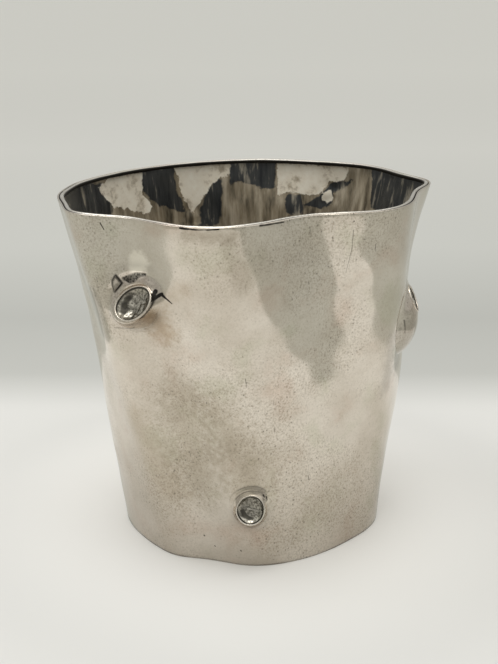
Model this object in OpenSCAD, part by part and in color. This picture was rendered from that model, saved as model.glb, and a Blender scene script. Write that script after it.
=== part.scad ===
// Champagne bucket raised by hand in silver sheet, in the shape of a cut tree trunk.
// Millimetres, +Z up. The origin is the middle of the underside of the base plate.

/* [Trunk] */
// Height of the top edge of the sheet wall above the table
height = 219; // [200:1:260]
// Radius of the trunk at the table, before its lobes
base_r = 82.5; // [70:0.5:95]
// Radius of the trunk at the mouth, before its lobes
mouth_r = 106.5; // [98:0.5:125]
// How far the trunk draws in at half its height
waist_in = 1; // [0:0.5:5]
// How far the boldest lobe stands out at the mouth
lobe_rise = 17; // [6:0.5:20]
// Turn of the lobes on the way from the mouth down to the base, in degrees
twist_angle = 17; // [0:1:30]
// Shift of the mouth's middle to the left of the base's middle
mouth_left = 3.4; // [0:0.1:8]
// Shift of the mouth's middle behind the base's middle
mouth_back = 3; // [0:0.1:8]

/* [Sheet and wire] */
// Thickness of the wall sheet
wall_t = 1.2; // [0.8:0.1:2]
// Thickness of the base plate
base_t = 1.5; // [1:0.1:3]
// Leg of the solder fillet in the corner between wall and base plate
fillet_leg = 3; // [1.5:0.1:5]
// Diameter of the wire soldered inside the mouth
rim_wire_d = 3; // [2:0.1:4.5]
// How far that wire stands above the edge of the sheet
rim_wire_proud = 0.8; // [0:0.1:1.5]
// Solder gap between the wall and a piece that lies against it
seat_gap = 0.3; // [0.25:0.01:0.5]

/* [Knots] */
// Upper left knot, in degrees: angle round the trunk, lean to the left, tilt off the wall
upper_left_turns = [-124.8, 28, 42]; // [-180:0.1:180]
// Middle of the upper left knot below the edge of the mouth
upper_left_drop = 47; // [30:0.5:70]
// Radius of the cut face of the upper left knot
upper_left_r = 11.6; // [8:0.1:13]
// Lower front knot, in degrees: angle round the trunk, lean to the left, tilt off the wall
lower_front_turns = [-90, 18, 22]; // [-180:0.1:180]
// Middle of the lower front knot above the table
lower_front_up = 44; // [32:0.5:80]
// Radius of the cut face of the lower front knot
lower_front_r = 8.9; // [7.5:0.1:12]
// Right knot, in degrees: angle round the trunk, lean to the left, tilt off the wall
right_turns = [-10, 0, 24]; // [-180:0.1:180]
// Middle of the right knot below the edge of the mouth
right_drop = 67; // [30:0.5:110]
// Radius of the cut face of the right knot
right_r = 9.2; // [7.5:0.1:12]
// Back right knot, in degrees: angle round the trunk, lean to the left, tilt off the wall
back_right_turns = [59, -12, 24]; // [-180:0.1:180]
// Middle of the back right knot below the edge of the mouth
back_right_drop = 26; // [20:0.5:80]
// Radius of the cut face of the back right knot
back_right_r = 9; // [7.5:0.1:12]
// Back left knot, in degrees: angle round the trunk, lean to the left, tilt off the wall
back_left_turns = [113, 12, 24]; // [-180:0.1:180]
// Middle of the back left knot below the edge of the mouth
back_left_drop = 40; // [20:0.5:80]
// Radius of the cut face of the back left knot
back_left_r = 9; // [7.5:0.1:12]
// How far the wall itself is pushed out behind a knot
swell_h = 1.6; // [0:0.1:4]
// Spread of that swelling round the knot
swell_r = 20; // [14:0.5:30]
// Width of the half round ring on the edge of a cut face
ring_w = 1.7; // [1:0.1:3]
// Depth of the dish in a cut face
dish_depth = 2.8; // [1.5:0.1:5]
// Thickness of the dish sheet
dish_t = 0.8; // [0.5:0.1:1.5]
// Solder clearance round the dish in its collar
dish_fit = 0.15; // [0.05:0.01:0.3]
// Thickness of the collar at its outline on the wall
collar_edge = 0.7; // [0.4:0.1:1.5]
// How far a collar reaches past its cut face, towards the end of the branch
collar_brow = 6; // [3:0.5:10]
// How far a collar runs back along the branch, past its cut face
collar_tail = 16; // [6:0.5:20]

/* [Hidden] */

$fn = 64;
wall_sides = 96;
rows_up = 24;
collar_sides = 32;
wire_sides = 8;
// Number of turns at which a knot's clearance is tried
clearance_sides = 12;
// Small steps, in degrees and in height, that feel out the skin's direction
feel_angle = 0.5;
feel_h = 0.5;
// Share of a stub's side that runs square to its cut face before it flares out to the wall
stub_share = 0.7;
bright = [0.80, 0.79, 0.76];
silver = [0.70, 0.68, 0.64];
worn = [0.58, 0.55, 0.51];
dark = [0.44, 0.42, 0.39];

// The lobes of the trunk. Each row gives the lobe's angle at the mouth, its rise at the mouth and at
// the base as shares of the boldest lobe's, its spread in degrees, and how late the rise comes.
LOBES = [
    [-160, 0.53, 0.12, 17, 1.2],
    [-141, 1, 0.2, 12, 1.2],
    [-124, 0, -0.15, 13, 1],
    [-103, 0.91, 0.2, 20, 1.2],
    [-68, -0.76, -0.09, 17, 1.5],
    [-32, 0.24, 0.18, 16, 1],
    [11, 0.82, 0.35, 13, 2],
    [43, 0.94, 0.2, 21, 1.2],
    [80, 0.41, 0.12, 20, 1.2],
    [130, -0.12, 0.12, 25, 1.2],
    [174, 0.24, 0.15, 15, 1.2]
];

// Broad bulges and hollows of the trunk. Each row gives the bulge's angle, its height as a share of the
// wall's, its rise as a share of the boldest lobe's, its spread in degrees, and its spread up the wall as
// a share of the wall's height. The first is the full side of the trunk under the right knot.
BULGES = [
    [3, 0.42, 0.43, 15, 0.232],
    [5, 0.812, -0.135, 14, 0.142],
    [-168, 0.305, 0.065, 18, 0.218],
    [-166, 1, 0.153, 18, 0.197]
];

// The knots' places on the wall: turns in degrees and height
UPPER_LEFT_PLACE = [upper_left_turns, height - upper_left_drop];
LOWER_FRONT_PLACE = [lower_front_turns, lower_front_up];
RIGHT_PLACE = [right_turns, height - right_drop];
BACK_RIGHT_PLACE = [back_right_turns, height - back_right_drop];
BACK_LEFT_PLACE = [back_left_turns, height - back_left_drop];
PLACES = [UPPER_LEFT_PLACE, LOWER_FRONT_PLACE, RIGHT_PLACE, BACK_RIGHT_PLACE, BACK_LEFT_PLACE];

function total(list) = [for (v = list) 1] * list;
function unit(v) = v / norm(v);
function turn_between(a, b) = ((a - b + 540) % 360) - 180;
function mix(a, b, t) = a + (b - a) * t;
function share_up(z) = min(max(z / height, 0), 1);
function rounds(n) = [for (i = [0:n - 1]) 360 * i / n];

// The wall's middle and radius at angle a and height z
function middle(z) = [-mouth_left, mouth_back] * share_up(z);
function taper(s) = mix(base_r, mouth_r, s) - 4 * waist_in * s * (1 - s);
function lobe(l, a, s) =
    lobe_rise * mix(l[2], l[1], pow(s, l[4]))
    * exp(-pow(turn_between(a, l[0] + twist_angle * (1 - s)) / l[3], 2));
function bulge(b, a, s) =
    lobe_rise * b[2] * exp(-pow(turn_between(a, b[0]) / b[3], 2) - pow((s - b[1]) / b[4], 2));
function trunk_r(a, z) =
    let (s = share_up(z))
    taper(s) + total([for (l = LOBES) lobe(l, a, s)]) + total([for (b = BULGES) bulge(b, a, s)]);

// Each knot pushes the wall out in a round swelling
function swelling(place, a, z) =
    let (
        along = turn_between(a, place[0][0]) * PI / 180 * taper(share_up(place[1])),
        up = z - place[1]
    )
    swell_h * exp(-(along * along + up * up) / pow(swell_r, 2));
function wall_r(a, z) = trunk_r(a, z) + total([for (place = PLACES) swelling(place, a, z)]);

// A point of the outer skin, the skin's level direction outwards, and a point set in by a distance
function skin(a, z) = let (c = middle(z), r = wall_r(a, z)) [c.x + r * cos(a), c.y + r * sin(a), z];
function along_skin(a, z) = skin(a + feel_angle, z) - skin(a - feel_angle, z);
function up_skin(a, z) = skin(a, z + feel_h) - skin(a, z - feel_h);
function level_out(a, z) = let (t = along_skin(a, z)) unit([t.y, -t.x, 0]);
function inset(a, z, d) = skin(a, z) - d * level_out(a, z);

// The skin's true outward direction, and a point that stands off the skin over a point p near it
function skin_out(a, z) = unit(cross(along_skin(a, z), up_skin(a, z)));
function angle_at(p) = let (c = middle(p.z)) atan2(p.y - c.y, p.x - c.x);
function over_skin(p, d) = let (a = angle_at(p)) skin(a, p.z) + d * skin_out(a, p.z);

// Radii in a cut face of radius r, from the ring's middle to the dish, and the dish's outer ball
function bore_r(r) = r - ring_w / 2;
function dish_r(r) = bore_r(r) - dish_fit;
dish_h = dish_depth + dish_t;
function dish_ball(r) = (pow(dish_r(r), 2) + pow(dish_h, 2)) / (2 * dish_h);
function dish_low(r, x) = sqrt(pow(dish_ball(r), 2) - x * x) - dish_ball(r) + dish_h;

// A knot worked out from its place and the radius of its cut face. The list holds that radius, the
// knot's foot on the wall, the way out of the wall, the way along the branch, the way across it,
// the cut face's own top and outward directions, and the middle of the cut face.
function knot(place, r) =
    let (
        angle = place[0][0],
        lean = place[0][1],
        tilt = place[0][2],
        foot = skin(angle, place[1]),
        out = skin_out(angle, place[1]),
        up = unit([0, 0, 1] - out.z * out),
        branch = cos(lean) * up + sin(lean) * cross(out, up),
        across = cross(out, branch),
        // the rise at which a point at this turn and radius clears the wall by this much
        rise = function(turn, x, clear)
            (over_skin(foot + x * (cos(turn) * branch + sin(turn) * across), 0) - foot) * out
            + x * cos(turn) * sin(tilt) + clear * cos(tilt),
        dish_rises = [
            for (turn = rounds(clearance_sides))
                for (share = [0:0.25:1])
                    let (x = share * dish_r(r))
                    rise(turn, x, dish_low(r, x) + 2 * seat_gap)
        ],
        lip_rises = [for (turn = rounds(clearance_sides)) rise(turn, r, seat_gap + collar_edge)]
    )
    [
        r, foot, out, branch, across,
        cos(tilt) * branch - sin(tilt) * out,
        cos(tilt) * out + sin(tilt) * branch,
        foot + max(max(dish_rises), max(lip_rises)) * out
    ];
function face_r(k) = k[0];
function foot_of(k) = k[1];
function out_of(k) = k[2];
function branch_of(k) = k[3];
function across_of(k) = k[4];
function face_top(k) = k[5];
function face_out(k) = k[6];
function face_middle(k) = k[7];

UPPER_LEFT = knot(UPPER_LEFT_PLACE, upper_left_r);
LOWER_FRONT = knot(LOWER_FRONT_PLACE, lower_front_r);
RIGHT = knot(RIGHT_PLACE, right_r);
BACK_RIGHT = knot(BACK_RIGHT_PLACE, back_right_r);
BACK_LEFT = knot(BACK_LEFT_PLACE, back_left_r);

// A point of a cut face, and where a line from it, square to the face, meets the wall's tangent plane
function face_point(k, turn, x) =
    face_middle(k) + x * (cos(turn) * face_top(k) + sin(turn) * across_of(k));
function drop_to_wall(k, p) =
    p - face_out(k) * ((p - foot_of(k)) * out_of(k)) / (face_out(k) * out_of(k));

// The collar's outline on the wall: a short brow above the face and a long tail below it
function collar_reach(k, turn) =
    face_r(k) + mix(collar_brow, collar_tail, pow((1 - cos(turn)) / 2, 2));
function collar_foot(k, turn, d) =
    over_skin(
        foot_of(k) + collar_reach(k, turn) * (cos(turn) * branch_of(k) + sin(turn) * across_of(k)),
        d
    );

// One section of the collar, as a closed outline in the plane of that turn
function curve(a, b, c, t) = mix(mix(a, b, t), mix(b, c, t), t);
function collar_section(k, turn) =
    let (
        lip = face_point(k, turn, face_r(k)),
        bore_top = face_point(k, turn, bore_r(face_r(k))),
        bore_foot = drop_to_wall(k, bore_top),
        edge = collar_foot(k, turn, seat_gap + collar_edge),
        bend = mix(lip, drop_to_wall(k, lip), stub_share)
    )
    [
        over_skin(bore_foot, seat_gap),
        over_skin(mix(bore_foot, collar_foot(k, turn, 0), 0.5), seat_gap),
        collar_foot(k, turn, seat_gap),
        for (t = [0:0.25:1]) curve(edge, bend, lip, t),
        bore_top
    ];

// A solid from closed sections, set one after another round a loop
module loop_solid(sections) {
    n = len(sections);
    m = len(sections[0]);
    polyhedron(
        points = [for (s = sections) each s],
        faces = [
            for (i = [0:n - 1])
                for (j = [0:m - 1])
                    let (
                        i2 = (i + 1) % n,
                        j2 = (j + 1) % m
                    )
                    each [
                        [i * m + j, i * m + j2, i2 * m + j2],
                        [i * m + j, i2 * m + j2, i2 * m + j]
                    ]
        ],
        convexity = 8
    );
}

module wall() {
    heights = [for (i = [0:rows_up]) mix(base_t, height, i / rows_up)];
    color(silver)
        loop_solid([
            for (a = rounds(wall_sides)) [
                for (z = heights) skin(a, z),
                for (i = [rows_up:-1:0]) inset(a, heights[i], wall_t)
            ]
        ]);
}

module base_plate() {
    color(worn)
        linear_extrude(base_t)
            polygon([for (a = rounds(wall_sides)) let (p = skin(a, base_t)) [p.x, p.y]]);
}

module base_solder() {
    near = wall_t + seat_gap;
    color(dark)
        loop_solid([
            for (a = rounds(wall_sides)) [
                inset(a, base_t, near),
                inset(a, base_t + fillet_leg, near),
                inset(a, base_t, near + fillet_leg)
            ]
        ]);
}

module rim_wire() {
    wire_r = rim_wire_d / 2;
    wire_z = height + rim_wire_proud - wire_r;
    wire_in = wall_t + seat_gap + wire_r;
    half_side = 180 / wire_sides;
    color(bright)
        loop_solid([
            for (a = rounds(wall_sides)) [
                for (t = rounds(wire_sides))
                    inset(a, height, wire_in - wire_r * cos(t + half_side))
                    + [0, 0, wire_z - height + wire_r * sin(t + half_side)]
            ]
        ]);
}

// Sets a shape that is drawn on the XY plane, facing +Z, onto a knot's cut face
module on_face(k) {
    x = face_top(k);
    y = across_of(k);
    z = face_out(k);
    p = face_middle(k);
    multmatrix([
        [x.x, y.x, z.x, p.x],
        [x.y, y.y, z.y, p.y],
        [x.z, y.z, z.z, p.z],
        [0, 0, 0, 1]
    ])
        children();
}

module knot_collar(k) {
    color(silver)
        loop_solid([for (turn = rounds(collar_sides)) collar_section(k, turn)]);
}

module knot_ring(k) {
    color(bright)
        on_face(k)
            rotate_extrude()
                translate([bore_r(face_r(k)), 0])
                    intersection() {
                        circle(d = ring_w);
                        translate([-ring_w, 0])
                            square([2 * ring_w, ring_w]);
                    }
}

module knot_dish(k) {
    ball = dish_ball(face_r(k));
    color(dark)
        on_face(k)
            rotate_extrude()
                intersection() {
                    translate([0, ball - dish_h])
                        difference() {
                            circle(r = ball);
                            circle(r = ball - dish_t);
                        }
                    translate([0, -2 * dish_h])
                        square([ball, 2 * dish_h]);
                }
}

wall();
base_plate();
base_solder();
rim_wire();
knot_collar(UPPER_LEFT);  // upper_left_knot_collar
knot_ring(UPPER_LEFT);  // upper_left_knot_ring
knot_dish(UPPER_LEFT);  // upper_left_knot_dish
knot_collar(LOWER_FRONT);  // lower_front_knot_collar
knot_ring(LOWER_FRONT);  // lower_front_knot_ring
knot_dish(LOWER_FRONT);  // lower_front_knot_dish
knot_collar(RIGHT);  // right_knot_collar
knot_ring(RIGHT);  // right_knot_ring
knot_dish(RIGHT);  // right_knot_dish
knot_collar(BACK_RIGHT);  // back_right_knot_collar
knot_ring(BACK_RIGHT);  // back_right_knot_ring
knot_dish(BACK_RIGHT);  // back_right_knot_dish
knot_collar(BACK_LEFT);  // back_left_knot_collar
knot_ring(BACK_LEFT);  // back_left_knot_ring
knot_dish(BACK_LEFT);  // back_left_knot_dish
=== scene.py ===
# %% [markdown]
# # A champagne bucket in the shape of a cut tree trunk
#
# The bucket is raised by hand from silver sheet. Its wall is a tapering trunk with soft lobes that turn
# a little on their way up, its mouth has a wire soldered inside the edge, and cut branches stand out
# from it as knots. The CAD model gives the real sizes. This script dresses it: every piece is worked out
# again on a finer grid, with the dents, creases and tarnish of a hand-made thing.

import bpy
import numpy as np
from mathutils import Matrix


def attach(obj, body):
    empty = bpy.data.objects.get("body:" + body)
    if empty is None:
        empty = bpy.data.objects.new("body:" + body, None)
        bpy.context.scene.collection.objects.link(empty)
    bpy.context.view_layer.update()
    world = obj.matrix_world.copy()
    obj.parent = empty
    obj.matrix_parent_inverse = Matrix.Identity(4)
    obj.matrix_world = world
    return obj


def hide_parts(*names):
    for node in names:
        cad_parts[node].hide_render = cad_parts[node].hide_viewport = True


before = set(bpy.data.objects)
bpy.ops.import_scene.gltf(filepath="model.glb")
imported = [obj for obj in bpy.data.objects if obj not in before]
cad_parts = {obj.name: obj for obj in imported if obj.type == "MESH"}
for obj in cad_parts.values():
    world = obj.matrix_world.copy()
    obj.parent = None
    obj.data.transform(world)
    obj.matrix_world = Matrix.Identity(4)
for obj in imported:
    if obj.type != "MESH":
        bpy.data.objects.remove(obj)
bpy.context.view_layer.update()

# %% [markdown]
# ## The trunk
#
# The wall could be modelled with a subdivision cage, but its lobes follow a simple rule, so it is worked
# out instead. At each angle and height the radius is a taper, plus one bump for each lobe, plus a low
# swelling behind each knot. The sizes are those of the CAD model, in metres and degrees.

# %% Sizes of the trunk
HEIGHT = 0.219
BASE_R = 0.0825
MOUTH_R = 0.1065
WAIST_IN = 0.001
LOBE_RISE = 0.017
MOUTH_SHIFT = np.array([-0.0034, 0.0030])
WALL_T = 0.0012
BASE_T = 0.0015

# angle at the mouth, share of the full rise at mouth and base, spread, lateness, turn at the base
LOBES = [
    (-160, 0.53, 0.12, 17, 1.2, 17),
    (-141, 1.00, 0.20, 12, 1.1, 17),
    (-124, 0.00, -0.19, 13, 1.1, 18),
    (-103, 0.91, 0.23, 20, 2.0, 12),
    (-68, -0.76, -0.08, 17, 1.3, 29),
    (-32, 0.24, 0.20, 16, 1.0, 16),
    (11, 0.82, 0.35, 13, 2.0, 17),
    (43, 0.94, 0.20, 21, 1.2, 17),
    (80, 0.41, 0.12, 20, 1.2, 17),
    (130, -0.12, 0.12, 25, 1.2, 17),
    (174, 0.24, 0.15, 15, 1.2, 17),
]

# angle, share of the height, share of the full rise, spread, spread up the wall as a share of the height
BULGES = [
    (3, 0.42, 0.43, 15, 0.232),
    (5, 0.812, -0.135, 14, 0.142),
    (-168, 0.305, 0.065, 18, 0.218),
    (-166, 1.0, 0.153, 18, 0.197),
]

# %% [markdown]
# Raising a sheet over a stake leaves broad, shallow swells and hollows that hardly show in the outline.
# They show in what the polished wall reflects, because half a millimetre turns a reflection by several
# degrees. The few on the front are set one by one, so that the light runs over the wall as it should.

# %% Swells of the sheet, and the places of the knots
SWELL_SPREAD = 11
SWELL_TALL = 0.030
SWELL_FADE = 6
# angle, height, rise
SWELLS = [
    (-147, 0.152, -0.00050),
    (-131, 0.152, 0.00050),
    (-120, 0.190, -0.00030),
    (-90, 0.150, 0.00024),
    (-75, 0.105, -0.00060),
    (-75, 0.150, -0.00042),
    (-75, 0.190, 0.00070),
    (-60, 0.105, 0.00030),
    (-60, 0.150, 0.00056),
    (-60, 0.190, 0.00040),
    (-45, 0.150, -0.00077),
    (-45, 0.190, -0.00058),
    (-30, 0.190, 0.00025),
]

# angle round the trunk, height, lean of the branch to the left, tilt of the cut face, radius of the face
KNOTS = {
    "upper_left": (-124.8, 0.172, 28, 42, 0.0116),
    "lower_front": (-90.0, 0.044, 18, 22, 0.0089),
    "right": (-10.0, 0.152, 0, 24, 0.0092),
    "back_right": (59.0, 0.193, -12, 24, 0.0090),
    "back_left": (113.0, 0.179, 12, 24, 0.0090),
}
PUSH_H = 0.0016
PUSH_R = 0.020


# %% The trunk's radius as a function of angle and height
def mix(a, b, t):
    """The value that lies the share t of the way from a to b."""
    return a + (b - a) * t


def unit(v):
    """Vectors scaled to length one."""
    return v / np.linalg.norm(v, axis=-1, keepdims=True)


def between(a, b):
    """The turn from b to a, in degrees from -180 to 180."""
    return (a - b + 540) % 360 - 180


def smooth(value, low, high):
    """A soft step: nil up to low, one from high on, and a cubic between them."""
    t = np.clip((value - low) / (high - low), 0, 1)
    return t * t * (3 - 2 * t)


def bell(value, middle, width):
    """A bell curve: one at the middle, falling off with the square of the distance."""
    return np.exp(-(((value - middle) / width) ** 2))


def taper(share):
    """Radius of the bare trunk: a straight taper, drawn in by a parabola at half height."""
    return mix(BASE_R, MOUTH_R, share) - 4 * WAIST_IN * share * (1 - share)


def trunk_radius(angle, z):
    """Taper, plus a bell curve over the angle for each lobe, plus bells for the bulges, swells and knots.

    A lobe's rise goes from its share at the base to its share at the mouth, and its middle turns with
    the height. The swells fade out at the foot and at the mouth.
    """
    share = np.clip(z / HEIGHT, 0, 1)
    radius = taper(share)
    for lobe_angle, at_mouth, at_base, width, late, turn in LOBES:
        rise = LOBE_RISE * mix(at_base, at_mouth, share**late)
        radius = radius + rise * bell(between(angle, lobe_angle + turn * (1 - share)), 0, width)
    for bulge_angle, bulge_share, rise, width, tall in BULGES:
        round_it = bell(between(angle, bulge_angle), 0, width)
        radius = radius + LOBE_RISE * rise * round_it * bell(share, bulge_share, tall)
    fade = np.clip(SWELL_FADE * share * (1 - share), 0, 1)
    for swell_angle, swell_z, rise in SWELLS:
        round_it = bell(between(angle, swell_angle), 0, SWELL_SPREAD)
        radius = radius + fade * rise * round_it * bell(z, swell_z, SWELL_TALL)
    for knot_angle, knot_z, _, _, _ in KNOTS.values():
        along = np.radians(between(angle, knot_angle)) * taper(knot_z / HEIGHT)
        radius = radius + PUSH_H * bell(along, 0, PUSH_R) * bell(z, knot_z, PUSH_R)
    return radius


# %% [markdown]
# ## Hammer marks
#
# A raised sheet is never quite even: planishing leaves it with shallow, overlapping hollows. They could
# be a bump texture, but a mirror-like metal shows even a tenth of a millimetre in what it reflects, so
# they belong in the mesh. Here they are a sum of slanted waves over the unrolled sheet, with whole
# numbers of waves round the trunk, so that the sheet closes without a seam.

# %% Hammer marks as a sum of waves
MEAN_R = 0.1
chance = np.random.default_rng(7)


def wave_set(count, finest, height):
    """Random waves: turns round the trunk, waves up it, phase, and a height that falls with fineness."""
    around = chance.integers(-finest, finest + 1, count)
    up = chance.uniform(-finest, finest, count) / MEAN_R
    phase = chance.uniform(0, 2 * np.pi, count)
    fineness = np.hypot(around, up * MEAN_R)
    tall = height / (1 + fineness) * chance.uniform(0.5, 1.0, count)
    return around, up, phase, tall


def ripple(waves, angle, z):
    """The sum of the waves at an angle and height."""
    total = np.zeros(np.broadcast(angle, z).shape)
    for around, up, phase, tall in zip(*waves):
        total += tall * np.cos(np.radians(angle) * around + z * up + phase)
    return total


BROAD = wave_set(26, 9, 0.00050)
MIDDLE = wave_set(40, 26, 0.00055)
FINE = wave_set(60, 38, 0.00060)
print("hammer waves:", len(BROAD[0]) + len(MIDDLE[0]) + len(FINE[0]))

# %% [markdown]
# ## The skin
#
# Everything on the bucket is placed on or off its outer skin, so the skin gets a few helpers: the point
# at an angle and height, the ways out of it, and the way back from a point in the air to its foot on the
# skin. With these a knot can grow out of the wall and meet it without a step.


# %% The skin and its directions
def skin(angle, z):
    """A point of the outer skin: the trunk's radius with its hammer marks, about a leaning axis."""
    angle, z = np.broadcast_arrays(np.asarray(angle, float), np.asarray(z, float))
    radius = trunk_radius(angle, z) + ripple(BROAD, angle, z) + ripple(MIDDLE, angle, z)
    turn = np.radians(angle)
    share = np.clip(z / HEIGHT, 0, 1)
    x = MOUTH_SHIFT[0] * share + radius * np.cos(turn)
    y = MOUTH_SHIFT[1] * share + radius * np.sin(turn)
    return np.stack([x, y, z], -1)


def level_out(angle, z, step=0.5):
    """The level direction out of the skin: the direction round the trunk, turned by a quarter."""
    along = skin(angle + step, z) - skin(angle - step, z)
    return unit(np.stack([along[..., 1], -along[..., 0], 0 * along[..., 0]], -1))


def skin_out(angle, z, step=0.5, rise=0.0005):
    """The true direction out of the skin: across both its directions, round and up."""
    round_it = skin(angle + step, z) - skin(angle - step, z)
    up_it = skin(angle, z + rise) - skin(angle, z - rise)
    return unit(np.cross(round_it, up_it))


# %% From points to the skin and back
FOOT_STEPS = 5


def wall_place(points):
    """Angle and height of points near the wall."""
    share = np.clip(points[..., 2] / HEIGHT, 0, 1)
    x = points[..., 0] - MOUTH_SHIFT[0] * share
    y = points[..., 1] - MOUTH_SHIFT[1] * share
    return np.degrees(np.arctan2(y, x)), points[..., 2]


def over_skin(points, lift):
    """The points of the skin with the same angle and height, lifted straight off it by a distance."""
    angle, z = wall_place(points)
    return skin(angle, z) + np.asarray(lift)[..., None] * skin_out(angle, z)


def off_skin(points):
    """Foot on the skin and height above it: the foot moves until the line out of it meets the point."""
    foot = points
    for _ in range(FOOT_STEPS):
        angle, z = wall_place(foot)
        out = skin_out(angle, z)
        lift = np.sum((points - skin(angle, z)) * out, -1)
        foot = points - lift[..., None] * out
    return foot, lift


# %% [markdown]
# ## Making a mesh from a grid
#
# Every piece is a grid of points, and most grids close on themselves in both directions. One helper turns
# such a grid into a mesh, closes its poles where it has any, and turns its faces outwards. Another stores
# one number for each point, so that a material can know where it is on a piece.


# %% The grid helper
def vertices_of(obj):
    """An object's mesh points as an array."""
    flat = np.empty(len(obj.data.vertices) * 3)
    obj.data.vertices.foreach_get("co", flat)
    return flat.reshape(-1, 3)


def grid_faces(n, m, closed):
    """Four-cornered faces of an n by m grid that closes along n, and along m if asked."""
    i, j = np.meshgrid(np.arange(n), np.arange(m if closed else m - 1), indexing="ij")
    i2, j2 = (i + 1) % n, (j + 1) % m
    return np.stack([i * m + j, i2 * m + j, i2 * m + j2, i * m + j2], -1).reshape(-1, 4)


def signed_volume(points, faces):
    """Volume under a closed mesh, positive where its faces point outwards."""
    a, b, c, d = (points[faces[:, k]] for k in range(4))
    halves = np.cross(b, c) + np.cross(c, d)
    return np.einsum("ij,ij->", a, halves) / 6


def piece_from_grid(name, grid, poles=None):
    """A smooth mesh object from a grid; poles are the two middle points of a disc's two sides."""
    n, m = grid.shape[:2]
    points = grid.reshape(-1, 3)
    faces = grid_faces(n, m, closed=poles is None)
    if poles is not None:
        points = np.vstack([points, poles])
        i = np.arange(n)
        i2 = (i + 1) % n
        first = np.stack([0 * i + n * m, i2 * m, i * m, i * m], -1)
        last = np.stack([0 * i + n * m + 1, i * m + m - 1, i2 * m + m - 1, i2 * m + m - 1], -1)
        faces = np.vstack([faces, first, last])
    if signed_volume(points, faces) < 0:
        faces = faces[:, ::-1]
    corners = [list(dict.fromkeys(face)) for face in faces.tolist()]
    mesh = bpy.data.meshes.new(name)
    mesh.from_pydata(points.tolist(), [], corners)
    mesh.polygons.foreach_set("use_smooth", np.ones(len(corners), bool))
    obj = bpy.data.objects.new(name, mesh)
    bpy.context.scene.collection.objects.link(obj)
    print(f"{name}: {len(points)} points, {len(corners)} faces")
    return obj


def paint(obj, name, values):
    """Stores one number for each point of a mesh, for its material to read."""
    layer = obj.data.attributes.new(name, "FLOAT", "POINT")
    full = np.zeros(len(obj.data.vertices), np.float32)
    full[: np.size(values)] = np.ravel(values)
    layer.data.foreach_set("value", full)


def seat(obj, node, material):
    """Gives a piece its material and sets it in the frame in place of a CAD node."""
    obj.data.materials.append(material)
    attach(obj, "root")
    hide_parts(node)


# %% [markdown]
# ## Camera
#
# The photograph looks down on the bucket by about eighteen degrees, from three quarters of a metre away.
# The camera's place was worked out from the outline of the mouth and the foot.

# %% Camera
PHOTO_W, PHOTO_H = 498, 664
FOCAL_PX = 1150
LOOK_DOWN = 17.64
camera = bpy.data.objects.new("camera", bpy.data.cameras.new("camera"))
camera.data.sensor_width = 36.0
camera.data.lens = FOCAL_PX / max(PHOTO_W, PHOTO_H) * camera.data.sensor_width
camera.location = (-0.0017, -0.7172, 0.352)
camera.rotation_euler = (np.radians(90 - LOOK_DOWN), 0, 0)
bpy.context.scene.collection.objects.link(camera)
bpy.context.scene.camera = camera
bpy.context.scene.view_settings.view_transform = "Standard"
print("lens in mm:", round(camera.data.lens, 2))

# %% [markdown]
# ## Writing node trees
#
# A material is a tree of nodes. Written out in full, each node takes several lines, so a few helpers make
# a tree read like a sum: put adds a node, maths and tint mix numbers and colours, and spread stretches a
# value between two ends.


# %% A short way to write node trees
def put(tree, kind, inputs=(), **settings):
    """Adds a shader node; inputs that are sockets are linked, and others are set."""
    node = tree.nodes.new("ShaderNode" + kind)
    for key, value in settings.items():
        setattr(node, key, value)
    for key, value in dict(inputs).items():
        if isinstance(value, bpy.types.NodeSocket):
            tree.links.new(value, node.inputs[key])
        else:
            node.inputs[key].default_value = value
    return node


def maths(tree, how, a, b=0.0, c=0.0):
    """A Math node's result."""
    return put(tree, "Math", {0: a, 1: b, 2: c}, operation=how).outputs[0]


def times(tree, a, b):
    """The product of two values."""
    return maths(tree, "MULTIPLY", a, b)


def arrow(tree, how, a, b=(0, 0, 0)):
    """A Vector Math node, for its Vector or its Value."""
    return put(tree, "VectorMath", {0: a, 1: b}, operation=how).outputs


def scaled(tree, vector, by):
    """A vector made longer or shorter."""
    return put(tree, "VectorMath", {0: vector, 3: by}, operation="SCALE").outputs["Vector"]


def apart(tree, vector):
    """The X, Y and Z of a vector, by name."""
    return put(tree, "SeparateXYZ", {0: vector}).outputs


def tint(tree, factor, a, b, how="MIX"):
    """The result of mixing two colours."""
    node = put(tree, "Mix", {0: factor, 6: a, 7: b}, data_type="RGBA", blend_type=how)
    return node.outputs[2]


def spread(tree, value, low, high, to_low=0.0, to_high=1.0):
    """A value stretched smoothly from one range to another, and held inside it."""
    inputs = {"Value": value, "From Min": low, "From Max": high, "To Min": to_low, "To Max": to_high}
    return put(tree, "MapRange", inputs, interpolation_type="SMOOTHSTEP").outputs[0]


def place_of(tree, scale=(1, 1, 1), shift=(0, 0, 0)):
    """The place on the piece, in metres, stretched and shifted if asked."""
    place = put(tree, "TexCoord").outputs["Object"]
    if scale == (1, 1, 1) and shift == (0, 0, 0):
        return place
    return put(tree, "Mapping", {0: place, 1: shift, 3: scale}).outputs[0]


def noise(tree, point, scale, detail=4.0, rough=0.55):
    """A cloud texture's value."""
    inputs = {"Vector": point, "Scale": scale, "Detail": detail, "Roughness": rough}
    return put(tree, "TexNoise", inputs).outputs[0]


def ramp(tree, value, stops):
    """Colours set along a value."""
    node = put(tree, "ValToRGB", {0: value})
    bar = node.color_ramp
    while len(bar.elements) < len(stops):
        bar.elements.new(0.5)
    for element, (place, colour) in zip(bar.elements, stops):
        element.position = place
        element.color = (*colour, 1)
    return node.outputs[0]


def use_group(tree, group, **values):
    """Places a group in a tree, and sets or links its inputs."""
    return put(tree, "Group", values, node_tree=group).outputs


def painted(tree, name):
    """A number stored on the points of the mesh."""
    return put(tree, "Attribute", attribute_name=name).outputs["Fac"]


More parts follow.
